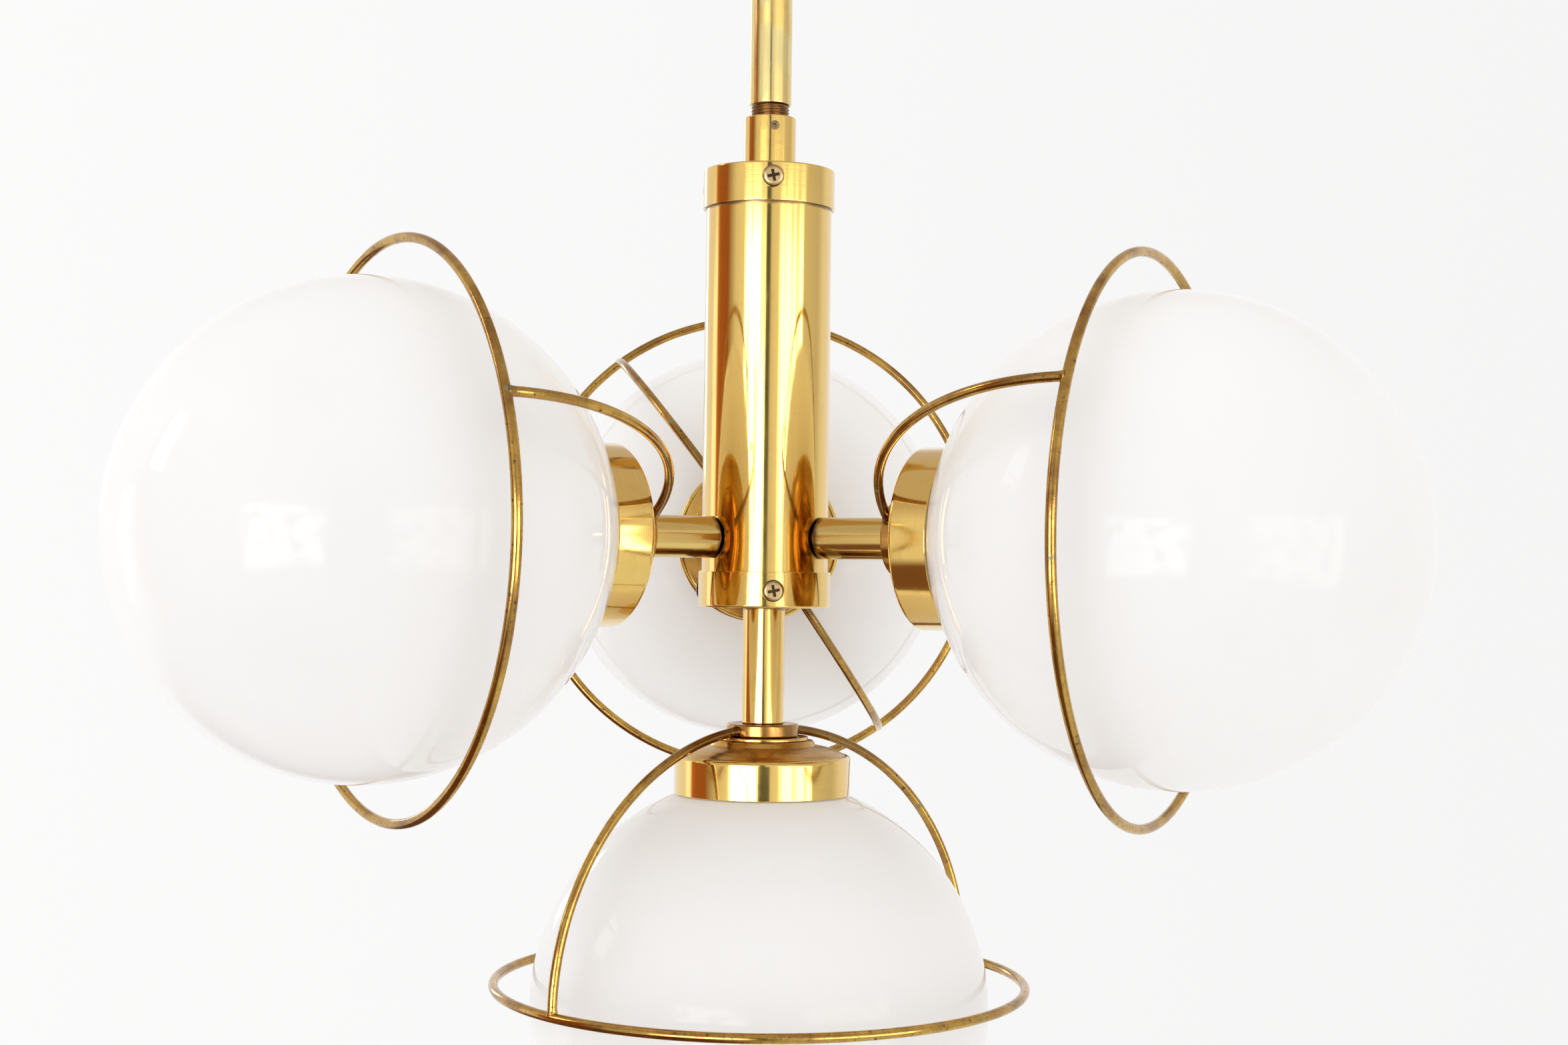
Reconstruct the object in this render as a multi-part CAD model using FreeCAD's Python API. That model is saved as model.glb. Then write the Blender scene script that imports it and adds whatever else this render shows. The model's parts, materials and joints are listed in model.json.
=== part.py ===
"""Multi arm chandelier: a rod-hung brass body with three side arms and one drop arm.

Each arm ends in a brass cup that holds an opal globe, inside a cage of two bent wires and a ring.
The origin is the centre of the ceiling bracket's flat top, and +Z points up. Millimetres.
A lamp's own frame has its origin at the globe's centre and +Z pointing away from the body.
"""
import FreeCAD, Part
import math
import os

Vector = FreeCAD.Vector

# Where the lamps hang
ARM_LEVEL = -500.0
SIDE_REACH = 186.2
DROP_REACH = 204.7
SIDE_AZIMUTHS = {"left": 210.0, "right": 330.0, "back": 90.0}
LAMPS = ("left", "right", "back", "drop")
WIRE_ANGLES = {"left": (25, 205), "right": (150, 330), "back": (53, 235), "drop": (138, 327)}

# Fits and sheet metal
THREAD_R = 5.0
THREAD_BORE_R = 5.05
CLEAR_BORE_R = 5.1
WIREWAY_R = 3.5
RUNNING_CLEARANCE = 0.08
LOOSE_CLEARANCE = 0.35
SPUN_WALL = 1.3

# Ceiling fixing, measured down from the ceiling
BRACKET_SIZE = (100.0, 24.0, 3.0)
BRACKET_HOLE_SPACING = 70.0
BRACKET_HOLE_R = 2.6
BRACKET_BOSS_FLATS = 20.0
BRACKET_BOSS_BOTTOM = -13.0
NUT_FLATS = 17.0
NUT_THICKNESS = 5.0
CANOPY_R = 55.0
CANOPY_DEPTH = 30.0
CANOPY_BEVEL = 7.0
CANOPY_COLLAR_R = 13.0
CANOPY_COLLAR_LENGTH = 12.0

# Rod, neck and coupling collar, as heights above the arms
ROD_R = 9.3
ROD_BORE_R = 7.5
ROD_PLUG_LENGTH = 18.0
NECK_TOP = 190.7
NECK_BOTTOM = 173.2
NECK_R = 8.42
NECK_THREAD_PITCH = 1.9
NECK_THREAD_DEPTH = 0.75
SPIGOT_LENGTH = 12.0
COLLAR_TOP = 184.9
COLLAR_R = 11.5
COLLAR_STEP = 172.9
COLLAR_SCREW_HEIGHT = 180.0
COLLAR_SCREW_AZIMUTH = 278.0

# Body, as heights above the arms
BODY_R = 27.7
BODY_WALL = 2.0
BODY_TOP = 159.0
BODY_BOTTOM = -28.2
TOP_CAP_R = 29.0
TOP_CAP_TOP = 161.2
TOP_CAP_SKIRT = 144.4
BOTTOM_CAP_R = 29.0
BOTTOM_CAP_SKIRT = -14.7
BOTTOM_CAP_BOTTOM = -30.3
CAP_FIT_R = 27.75
CAP_SCREW_SPACING = 120.0
TOP_SCREW_AZIMUTH = 271.0
TOP_SCREW_HEIGHT = 154.6
BOTTOM_SCREW_AZIMUTH = 275.2
BOTTOM_SCREW_HEIGHT = -22.8
CAP_SCREW_R = 1.95
CAP_SCREW_HEAD_R = 4.7
CAP_SCREW_HEAD_HEIGHT = 2.4
CROSS_TURN = 12
CROSS_LENGTH = 5.2
CROSS_WIDTH = 1.3
CROSS_DEPTH = 1.2
CAP_SCREW_TIP_R = 22.0

# Arms
ARM_R = 9.1
DROP_TUBE_R = 9.2
TIE_START = 17.0
DROP_TIE_START = 19.0

# Lamp, as distances behind the globe's centre
GLOBE_R = 100.0
GLOBE_WALL = 2.5
GLOBE_NECK_R = 37.05
GLOBE_NECK_BACK = 104.0
RING_BACK = 10.6
RING_R = 115.5
RING_WIRE_R = 2.1
CAGE_WIRE_R = 2.0
CAGE_SWEEP_R = 110.5
CUP_R = 38.7
CUP_FRONT = 93.0
CUP_BACK = 110.0
CUP_SHOULDER = 2.0
BOSS_BASE_R = 36.4
BOSS_DOME_R = 31.0
BOSS_DOME_BACK = 112.4
BOSS_STEP_R = 23.4
BOSS_STEP_BACK = 114.2
BOSS_TOP_R = 22.2
BOSS_BACK = 116.4
WASHER_R = 20.0
WASHER_BACK = 118.0
HUB_R = 15.8
HUB_BACK = 123.6
TIE_FRONT = 105.0
HOLDER_R = 20.0
HOLDER_BACK = 110.0
HOLDER_FRONT = 66.0
HOLDER_BORE_R = 13.2
HOLDER_FLOOR = 91.0
HOLDER_ENTRY_FLOOR = 104.0
BULB_CAP_R = HOLDER_BORE_R - RUNNING_CLEARANCE
BULB_CAP_FRONT = 64.0
BULB_CAP_BACK = 90.6
BULB_NECK_R = 12.6
BULB_R = 30.0
BULB_CENTRE = 13.0

# Wiring
CONNECTOR_R = 12.0
CONNECTOR_HALF_HEIGHT = 11.0
SUPPLY_LEAD_R = 3.0
LAMP_LEAD_R = 2.5


def turned(profile):
    """A solid turned about Z from a closed outline of (radius, height) points."""
    points = [Vector(radius, 0, height) for radius, height in profile]
    outline = Part.makePolygon(points + points[:1])
    return Part.Face(outline).revolve(Vector(0, 0, 0), Vector(0, 0, 1), 360)


def tube(outer_r, inner_r, bottom, top):
    """A straight tube on the Z axis."""
    return turned([(inner_r, bottom), (outer_r, bottom), (outer_r, top), (inner_r, top)])


def rod(radius, bottom, top):
    """A straight round bar on the Z axis."""
    return Part.makeCylinder(radius, top - bottom, Vector(0, 0, bottom))


def spun(outline, wall):
    """A spun sheet part: an open (radius, height) outline, thickened to its left by wall."""
    normals = []
    for (r0, z0), (r1, z1) in zip(outline, outline[1:]):
        length = math.hypot(r1 - r0, z1 - z0)
        normals.append(((z0 - z1) / length, (r1 - r0) / length))
    inner = []
    for index, (radius, height) in enumerate(outline):
        before = normals[max(index - 1, 0)]
        after = normals[min(index, len(normals) - 1)]
        scale = wall / (1 + before[0] * after[0] + before[1] * after[1])
        inner.append((radius + (before[0] + after[0]) * scale,
                      height + (before[1] + after[1]) * scale))
    return turned(outline + inner[::-1])


def rounded(shape, size, *edges_at):
    """Round the circular edges at the given (radius, height) places."""
    chosen = []
    for edge in shape.Edges:
        if not isinstance(edge.Curve, Part.Circle):
            continue
        for radius, height in edges_at:
            same_radius = abs(edge.Curve.Radius - radius) < 0.01
            if same_radius and abs(edge.Curve.Center.z - height) < 0.01:
                chosen.append(edge)
    return shape.makeFillet(size, chosen)


def hexagon(flats, bottom, top, bore_r):
    """A hexagonal block with a bore, its corners eased as on a nut."""
    corner_r = flats / math.sqrt(3)
    points = []
    for side in range(7):
        angle = math.radians(60 * side)
        points.append(Vector(corner_r * math.cos(angle), corner_r * math.sin(angle), bottom))
    block = Part.Face(Part.makePolygon(points)).extrude(Vector(0, 0, top - bottom))
    ease = corner_r - flats / 2 * 0.97
    envelope = turned([(0, bottom), (corner_r - ease, bottom), (corner_r, bottom + ease * 0.6),
                       (corner_r, top - ease * 0.6), (corner_r - ease, top), (0, top)])
    return block.common(envelope).cut(rod(bore_r, bottom - 1, top + 1))


def lock_nut(bottom):
    return hexagon(NUT_FLATS, bottom, bottom + NUT_THICKNESS, THREAD_BORE_R)


def radial(shape, azimuth, height):
    """Turn a shape made along +Z so that it points outwards from the axis at that height."""
    placed = shape.copy()
    placed.rotate(Vector(0, 0, 0), Vector(0, 1, 0), 90)
    placed.rotate(Vector(0, 0, 0), Vector(0, 0, 1), azimuth)
    placed.translate(Vector(0, 0, height))
    return placed


def raised(shape):
    """Lower a shape made about the arms' level to its real height."""
    return shape.translated(Vector(0, 0, ARM_LEVEL))


def at_lamp(shape, lamp):
    """Carry a shape from a lamp's own frame to its place on the chandelier."""
    if lamp == "drop":
        across, up, outward = Vector(1, 0, 0), Vector(0, -1, 0), Vector(0, 0, -1)
        reach = DROP_REACH
    else:
        azimuth = math.radians(SIDE_AZIMUTHS[lamp])
        outward = Vector(math.cos(azimuth), math.sin(azimuth), 0)
        across, up = Vector(-outward.y, outward.x, 0), Vector(0, 0, 1)
        reach = SIDE_REACH
    centre = outward * reach + Vector(0, 0, ARM_LEVEL)
    turn = FreeCAD.Rotation(across, up, outward, "ZXY")
    placed = shape.copy()
    placed.Placement = FreeCAD.Placement(centre, turn).multiply(placed.Placement)
    return placed


def reach_of(lamp):
    return DROP_REACH if lamp == "drop" else SIDE_REACH


# Ceiling fixing

def ceiling_bracket():
    length, width, thickness = BRACKET_SIZE
    corner = Vector(-length / 2, -width / 2, -thickness)
    bar = Part.makeBox(length, width, thickness, corner)
    upright = [edge for edge in bar.Edges if abs(edge.tangentAt(edge.FirstParameter).z) > 0.9]
    bar = bar.makeFillet(5.0, upright)
    boss = hexagon(BRACKET_BOSS_FLATS, BRACKET_BOSS_BOTTOM, -thickness, THREAD_BORE_R)
    bracket = bar.cut(rod(THREAD_BORE_R, -thickness - 1, 1)).fuse(boss)
    for side in (-1, 1):
        hole = rod(BRACKET_HOLE_R, -thickness - 1, 1)
        bracket = bracket.cut(hole.translated(Vector(side * BRACKET_HOLE_SPACING / 2, 0, 0)))
    return bracket.removeSplitter()


def hanger_nipple():
    bottom = BRACKET_BOSS_BOTTOM - NUT_THICKNESS - ROD_PLUG_LENGTH + 2
    return tube(THREAD_R, WIREWAY_R, bottom, -1.0)


def hanger_lock_nut():
    return lock_nut(BRACKET_BOSS_BOTTOM - NUT_THICKNESS)


def ceiling_canopy():
    outline = [(CANOPY_R, 0), (CANOPY_R, -CANOPY_DEPTH + CANOPY_BEVEL),
               (CANOPY_R - CANOPY_BEVEL, -CANOPY_DEPTH),
               (ROD_R + RUNNING_CLEARANCE, -CANOPY_DEPTH)]
    shell = spun([(r, z) for r, z in outline[::-1]], SPUN_WALL)
    return rounded(shell, 5.0, outline[1], outline[2])


def canopy_collar():
    top = -CANOPY_DEPTH
    bottom = top - CANOPY_COLLAR_LENGTH
    collar = rounded(rod(CANOPY_COLLAR_R, bottom, top), 1.2, (CANOPY_COLLAR_R, bottom))
    collar = collar.cut(rod(ROD_R + RUNNING_CLEARANCE, bottom - 1, top + 1))
    hole = radial(rod(2.05, 0, CANOPY_COLLAR_R + 1), 270, (top + bottom) / 2)
    return collar.cut(hole)


def grub_screw(inner, outer):
    """A short headless screw along +Z with a hexagon socket in its outer end."""
    socket = hexagon(2.0, outer - 1.2, outer + 0.5, 0.01)
    return rod(2.0, inner, outer).cut(socket)


def canopy_grub_screw():
    screw = grub_screw(ROD_R + LOOSE_CLEARANCE, CANOPY_COLLAR_R - 0.3)
    return radial(screw, 270, -CANOPY_DEPTH - CANOPY_COLLAR_LENGTH / 2)


# Rod and coupling

def suspension_rod():
    top = BRACKET_BOSS_BOTTOM - NUT_THICKNESS
    bottom = ARM_LEVEL + NECK_TOP
    inside = [(THREAD_BORE_R, bottom), (THREAD_BORE_R, bottom + ROD_PLUG_LENGTH),
              (ROD_BORE_R, bottom + ROD_PLUG_LENGTH), (ROD_BORE_R, top - ROD_PLUG_LENGTH),
              (THREAD_BORE_R, top - ROD_PLUG_LENGTH), (THREAD_BORE_R, top)]
    shape = turned(inside + [(ROD_R, top), (ROD_R, bottom)])
    return rounded(shape, 0.4, (ROD_R, bottom))


def threaded_neck():
    """The male thread between the rod and the collar, with its ridges as plain rings."""
    outline = [(WIREWAY_R, NECK_BOTTOM)]
    ridges = int((NECK_TOP - NECK_BOTTOM) / NECK_THREAD_PITCH)
    for ridge in range(ridges):
        height = NECK_BOTTOM + ridge * NECK_THREAD_PITCH
        outline.append((NECK_R - NECK_THREAD_DEPTH, height))
        outline.append((NECK_R, height + NECK_THREAD_PITCH * 0.4))
        outline.append((NECK_R, height + NECK_THREAD_PITCH * 0.6))
    outline += [(NECK_R - NECK_THREAD_DEPTH, NECK_BOTTOM + ridges * NECK_THREAD_PITCH),
                (NECK_R - NECK_THREAD_DEPTH, NECK_TOP), (THREAD_R, NECK_TOP),
                (THREAD_R, NECK_TOP + SPIGOT_LENGTH), (WIREWAY_R, NECK_TOP + SPIGOT_LENGTH)]
    return raised(turned(outline))


def coupling_collar():
    neck_bore = NECK_R + RUNNING_CLEARANCE
    collar = turned([(THREAD_BORE_R, TOP_CAP_TOP), (COLLAR_R, TOP_CAP_TOP),
                     (COLLAR_R, COLLAR_TOP), (neck_bore, COLLAR_TOP),
                     (neck_bore, COLLAR_STEP), (THREAD_BORE_R, COLLAR_STEP)])
    collar = rounded(collar, 0.5, (COLLAR_R, COLLAR_TOP), (COLLAR_R, TOP_CAP_TOP))
    hole = radial(rod(2.05, 0, COLLAR_R + 1), COLLAR_SCREW_AZIMUTH, COLLAR_SCREW_HEIGHT)
    return raised(collar.cut(hole))


def collar_set_screw():
    screw = grub_screw(NECK_R + LOOSE_CLEARANCE, COLLAR_R - 0.5)
    return raised(radial(screw, COLLAR_SCREW_AZIMUTH, COLLAR_SCREW_HEIGHT))


def body_nipple():
    return raised(tube(THREAD_R, WIREWAY_R, BODY_TOP - NUT_THICKNESS - 3, COLLAR_STEP - 0.5))


# Body

def screw_azimuths(first):
    return [first + CAP_SCREW_SPACING * step for step in range(3)]


def with_screw_holes(shape, first, height, hole_r):
    for azimuth in screw_azimuths(first):
        shape = shape.cut(radial(rod(hole_r, 0, BOTTOM_CAP_R + 1), azimuth, height))
    return shape


def body_tube():
    shape = tube(BODY_R, BODY_R - BODY_WALL, BODY_BOTTOM, BODY_TOP)
    for azimuth in SIDE_AZIMUTHS.values():
        shape = shape.cut(radial(rod(CLEAR_BORE_R, 0, BODY_R + 1), azimuth, 0))
    hole_r = CAP_SCREW_R + 0.05
    shape = with_screw_holes(shape, TOP_SCREW_AZIMUTH, TOP_SCREW_HEIGHT, hole_r)
    return raised(with_screw_holes(shape, BOTTOM_SCREW_AZIMUTH, BOTTOM_SCREW_HEIGHT, hole_r))


def body_cap(radius, outer_face, inner_face, skirt_end, edge_round):
    """A turned cap whose skirt slips over the end of the body tube, before drilling."""
    cap = turned([(CLEAR_BORE_R, outer_face), (radius, outer_face), (radius, skirt_end),
                  (CAP_FIT_R, skirt_end), (CAP_FIT_R, inner_face), (CLEAR_BORE_R, inner_face)])
    return rounded(cap, edge_round, (radius, outer_face))


def body_top_cap():
    cap = body_cap(TOP_CAP_R, TOP_CAP_TOP, BODY_TOP, TOP_CAP_SKIRT, 0.6)
    hole_r = CAP_SCREW_R + 0.15
    return raised(with_screw_holes(cap, TOP_SCREW_AZIMUTH, TOP_SCREW_HEIGHT, hole_r))


def body_bottom_cap():
    cap = body_cap(BOTTOM_CAP_R, BOTTOM_CAP_BOTTOM, BODY_BOTTOM, BOTTOM_CAP_SKIRT, 1.0)
    hole_r = CAP_SCREW_R + 0.15
    return raised(with_screw_holes(cap, BOTTOM_SCREW_AZIMUTH, BOTTOM_SCREW_HEIGHT, hole_r))


def pan_screw(seat_r):
    """A pan head screw along +Z, its head seated at seat_r, with a cross recess."""
    crown = CAP_SCREW_HEAD_HEIGHT + seat_r
    head = rod(CAP_SCREW_HEAD_R, seat_r, crown)
    head = rounded(head, 1.6, (CAP_SCREW_HEAD_R, crown))
    screw = head.fuse(rod(CAP_SCREW_R, CAP_SCREW_TIP_R, seat_r))
    for quarter in (0, 90):
        corner = Vector(-CROSS_LENGTH / 2, -CROSS_WIDTH / 2, crown - CROSS_DEPTH)
        slot = Part.makeBox(CROSS_LENGTH, CROSS_WIDTH, CROSS_DEPTH + 1, corner)
        slot.rotate(Vector(0, 0, 0), Vector(0, 0, 1), quarter + CROSS_TURN)
        screw = screw.cut(slot)
    return screw


def cap_screws(cap_r, first, height):
    screw = pan_screw(cap_r)
    placed = [raised(radial(screw, azimuth, height)) for azimuth in screw_azimuths(first)]
    return Part.makeCompound(placed)


def lock_nuts():
    """The nuts that clamp the body's nipple, the four tie rods and the four cups."""
    nuts = [raised(lock_nut(BODY_TOP - NUT_THICKNESS)), raised(lock_nut(BODY_BOTTOM))]
    inside_face = math.sqrt((BODY_R - BODY_WALL) ** 2 - (NUT_FLATS / math.sqrt(3)) ** 2)
    for azimuth in SIDE_AZIMUTHS.values():
        nuts.append(raised(radial(lock_nut(inside_face - NUT_THICKNESS), azimuth, 0)))
    for lamp in LAMPS:
        nuts.append(at_lamp(lock_nut(-BOSS_BACK + SPUN_WALL), lamp))
    return Part.makeCompound(nuts)


def connector_block():
    block = hexagon(2 * CONNECTOR_R, -CONNECTOR_HALF_HEIGHT, CONNECTOR_HALF_HEIGHT, 1.5)
    return raised(block)


def supply_lead():
    return rod(SUPPLY_LEAD_R, ARM_LEVEL + CONNECTOR_HALF_HEIGHT, -1.5)


def lamp_leads():
    leads = []
    for lamp in LAMPS:
        start = CONNECTOR_HALF_HEIGHT if lamp == "drop" else CONNECTOR_R
        lead = rod(LAMP_LEAD_R, start - reach_of(lamp), -HOLDER_ENTRY_FLOOR)
        leads.append(at_lamp(lead, lamp))
    return Part.makeCompound(leads)


# Arms

def arm_tube(lamp):
    start = BODY_R + 0.05 - SIDE_REACH
    return at_lamp(tube(ARM_R, CLEAR_BORE_R, start, -HUB_BACK), lamp)


def drop_tube():
    start = -BOTTOM_CAP_BOTTOM - DROP_REACH
    return at_lamp(tube(DROP_TUBE_R, CLEAR_BORE_R, start, -HUB_BACK), "drop")


def tie_rod(lamp, start):
    """The hollow threaded rod that clamps body, arm, cage and cup together."""
    return at_lamp(tube(THREAD_R, WIREWAY_R, start - reach_of(lamp), -TIE_FRONT), lamp)


def arm_tie_rods():
    return Part.makeCompound([tie_rod(lamp, TIE_START) for lamp in SIDE_AZIMUTHS])


# Lamp, in its own frame

def cage_hub():
    hub = tube(HUB_R, CLEAR_BORE_R, -HUB_BACK, -WASHER_BACK)
    return rounded(hub, 0.5, (HUB_R, -HUB_BACK), (HUB_R, -WASHER_BACK))


def cage_ring():
    return Part.makeTorus(RING_R, RING_WIRE_R, Vector(0, 0, -RING_BACK), Vector(0, 0, 1))


def cage_wires(angles):
    """Two wires, each a quarter circle from the hub's rim to the back of the ring."""
    start = Vector(THREAD_R, 0, -RING_BACK - CAGE_SWEEP_R)
    section = Part.Face(Part.Wire(Part.makeCircle(CAGE_WIRE_R, start, Vector(1, 0, 0))))
    bend_centre = Vector(RING_R - CAGE_SWEEP_R, 0, -RING_BACK)
    wire = section.revolve(bend_centre, Vector(0, -1, 0), 90)
    wire = wire.cut(rod(HUB_R, -HUB_BACK - 1, -WASHER_BACK + 1)).cut(cage_ring())
    wires = []
    for angle in angles:
        turned_wire = wire.copy()
        turned_wire.rotate(Vector(0, 0, 0), Vector(0, 0, 1), angle)
        wires.append(turned_wire)
    return Part.makeCompound(wires)


def cage_washers():
    washer = tube(WASHER_R, CLEAR_BORE_R, -WASHER_BACK, -BOSS_BACK)
    washer = rounded(washer, 0.6, (WASHER_R, -WASHER_BACK))
    return Part.makeCompound([at_lamp(washer, lamp) for lamp in LAMPS])


def cup():
    outline = [(CLEAR_BORE_R, -BOSS_BACK), (BOSS_TOP_R, -BOSS_BACK),
               (BOSS_STEP_R, -BOSS_STEP_BACK), (BOSS_DOME_R, -BOSS_DOME_BACK),
               (BOSS_BASE_R, -CUP_BACK), (CUP_R, -CUP_BACK), (CUP_R, -CUP_FRONT)]
    shell = spun(outline, SPUN_WALL)
    shell = rounded(shell, CUP_SHOULDER, (CUP_R, -CUP_BACK))
    return rounded(shell, 0.9, (BOSS_TOP_R, -BOSS_BACK))


def lampholder():
    shape = turned([(0, -HOLDER_BACK), (13, -HOLDER_BACK), (HOLDER_R, -HOLDER_BACK + 7),
                    (HOLDER_R, -HOLDER_FRONT), (0, -HOLDER_FRONT)])
    shape = rounded(shape, 2.0, (HOLDER_R, -HOLDER_BACK + 7))
    shape = shape.cut(rod(HOLDER_BORE_R, -HOLDER_FLOOR, -HOLDER_FRONT + 1))
    return shape.cut(rod(THREAD_BORE_R, -HOLDER_BACK - 1, -HOLDER_ENTRY_FLOOR))


def globe():
    """A blown glass ball with a straight neck that screws into the cup."""
    ball = Part.makeSphere(GLOBE_R)
    neck = rod(GLOBE_NECK_R, -GLOBE_NECK_BACK, -GLOBE_R * 0.8)
    hollow = Part.makeSphere(GLOBE_R - GLOBE_WALL)
    mouth = rod(GLOBE_NECK_R - GLOBE_WALL, -GLOBE_NECK_BACK - 1, -GLOBE_R * 0.8)
    return ball.fuse(neck).cut(hollow.fuse(mouth)).removeSplitter()


def bulb_form(neck_r, ball_r):
    """The solid form of a bulb: a ball that runs tangentially into a straight neck."""
    rise = ball_r / 2
    shoulder_r = math.sqrt(ball_r ** 2 - rise ** 2)
    shoulder = -BULB_CENTRE - rise
    cone_start = shoulder - (shoulder_r - neck_r) * shoulder_r / rise
    neck = turned([(0, -BULB_CAP_FRONT), (neck_r, -BULB_CAP_FRONT), (neck_r, cone_start),
                   (shoulder_r, shoulder), (0, shoulder)])
    return neck.fuse(Part.makeSphere(ball_r, Vector(0, 0, -BULB_CENTRE)))


def bulb_glass():
    return bulb_form(BULB_NECK_R, BULB_R).cut(bulb_form(BULB_NECK_R - 1, BULB_R - 1))


def bulb_cap():
    outline = [(1.0, -BULB_CAP_BACK), (4.5, -BULB_CAP_BACK), (BULB_CAP_R, -BULB_CAP_BACK + 5),
               (BULB_CAP_R, -BULB_CAP_FRONT)]
    return spun(outline, 0.6)


def build():
    """Every sub-part, by name."""
    nodes = {
        "ceiling_bracket": ceiling_bracket(),
        "hanger_nipple": hanger_nipple(),
        "hanger_lock_nut": hanger_lock_nut(),
        "ceiling_canopy": ceiling_canopy(),
        "canopy_collar": canopy_collar(),
        "canopy_grub_screw": canopy_grub_screw(),
        "suspension_rod": suspension_rod(),
        "threaded_neck": threaded_neck(),
        "coupling_collar": coupling_collar(),
        "collar_set_screw": collar_set_screw(),
        "body_nipple": body_nipple(),
        "body_tube": body_tube(),
        "body_top_cap": body_top_cap(),
        "body_bottom_cap": body_bottom_cap(),
        "top_cap_screws": cap_screws(TOP_CAP_R, TOP_SCREW_AZIMUTH, TOP_SCREW_HEIGHT),
        "bottom_cap_screws": cap_screws(BOTTOM_CAP_R, BOTTOM_SCREW_AZIMUTH,
                                        BOTTOM_SCREW_HEIGHT),
        "lock_nuts": lock_nuts(),
        "connector_block": connector_block(),
        "supply_lead": supply_lead(),
        "lamp_leads": lamp_leads(),
        "arm_tie_rods": arm_tie_rods(),
        "drop_tie_rod": tie_rod("drop", DROP_TIE_START),
        "drop_tube": drop_tube(),
        "cage_washers": cage_washers(),
    }
    for lamp in SIDE_AZIMUTHS:
        nodes[f"arm_tube_{lamp}"] = arm_tube(lamp)
    shared = {"cage_hub": cage_hub(), "cage_ring": cage_ring(), "cup": cup(),
              "lampholder": lampholder(), "globe": globe(), "bulb_glass": bulb_glass(),
              "bulb_cap": bulb_cap()}
    for lamp in LAMPS:
        nodes[f"cage_wires_{lamp}"] = at_lamp(cage_wires(WIRE_ANGLES[lamp]), lamp)
        for name, shape in shared.items():
            nodes[f"{name}_{lamp}"] = at_lamp(shape, lamp)
    return nodes


os.makedirs("parts", exist_ok=True)
for name, shape in build().items():
    shape.exportStep(f"parts/{name}.step")
    sound = shape.isValid() and all(solid.isClosed() for solid in shape.Solids)
    print(f"{name:20s} solids {len(shape.Solids)} sound {sound} volume {shape.Volume:10.1f}")
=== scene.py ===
"""Looks of the multi arm chandelier: turned brass, aged wire cages and opal glass globes.

Metres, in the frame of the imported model. Every size comes from the frame's boxes. A lamp's own
frame has its origin at the globe's centre and +Z pointing away from the body.
"""
import json
import math

import bmesh
import bpy
from mathutils import Matrix, Vector, noise


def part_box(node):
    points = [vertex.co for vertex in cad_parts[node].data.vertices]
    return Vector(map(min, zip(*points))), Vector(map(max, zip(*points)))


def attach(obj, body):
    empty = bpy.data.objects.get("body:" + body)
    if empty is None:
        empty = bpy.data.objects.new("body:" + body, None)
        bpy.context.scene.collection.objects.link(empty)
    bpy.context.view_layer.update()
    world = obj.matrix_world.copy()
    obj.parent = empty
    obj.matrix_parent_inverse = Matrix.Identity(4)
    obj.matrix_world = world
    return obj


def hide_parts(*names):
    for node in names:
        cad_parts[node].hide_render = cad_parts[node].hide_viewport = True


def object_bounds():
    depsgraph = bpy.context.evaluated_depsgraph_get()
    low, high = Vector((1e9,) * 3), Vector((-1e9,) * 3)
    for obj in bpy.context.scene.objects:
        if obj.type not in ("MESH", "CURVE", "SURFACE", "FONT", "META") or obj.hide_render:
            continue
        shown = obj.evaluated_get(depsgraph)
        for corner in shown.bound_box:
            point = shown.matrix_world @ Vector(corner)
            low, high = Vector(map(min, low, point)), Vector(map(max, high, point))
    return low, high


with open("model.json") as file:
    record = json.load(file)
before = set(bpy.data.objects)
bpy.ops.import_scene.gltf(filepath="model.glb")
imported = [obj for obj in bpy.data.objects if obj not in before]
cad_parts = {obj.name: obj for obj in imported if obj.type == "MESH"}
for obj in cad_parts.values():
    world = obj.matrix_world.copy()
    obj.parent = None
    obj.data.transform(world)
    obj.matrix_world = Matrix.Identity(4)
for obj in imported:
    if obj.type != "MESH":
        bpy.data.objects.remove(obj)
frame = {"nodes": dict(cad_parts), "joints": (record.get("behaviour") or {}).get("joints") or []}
cad_low, cad_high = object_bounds()

MM = 0.001
MADE_IN = "made_in"
# How far apart the patterns of the four lamps lie
LAMP_SHIFT = 1.7
LAMPS = ("left", "right", "back", "drop")
SIDE_LAMPS = LAMPS[:3]
WIRE_ANGLES = {"left": (25, 205), "right": (150, 330), "back": (53, 235), "drop": (138, 327)}


# Measures from the frame

def low(node):
    return Vector(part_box(node)[0])


def high(node):
    return Vector(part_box(node)[1])


def middle(node):
    return (low(node) + high(node)) / 2


def radius(node):
    """Half of a round node's smaller width across."""
    size = high(node) - low(node)
    return min(size.x, size.y) / 2


GLOBE_R = (high("globe_back").z - low("globe_back").z) / 2
GLOBE_Y = high("globe_back").y - GLOBE_R
ARM_LEVEL = middle("cage_ring_back").z
RING_BACK = GLOBE_Y - middle("cage_ring_back").y
RING_WIRE_R = (high("cage_ring_back").y - low("cage_ring_back").y) / 2
RING_R = (high("cage_ring_back").z - low("cage_ring_back").z) / 2 - RING_WIRE_R


def behind(node):
    """How far a back lamp's node starts and ends behind the globe's centre."""
    return GLOBE_Y - high(node).y, GLOBE_Y - low(node).y


def half_height(node):
    return (high(node).z - low(node).z) / 2


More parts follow.
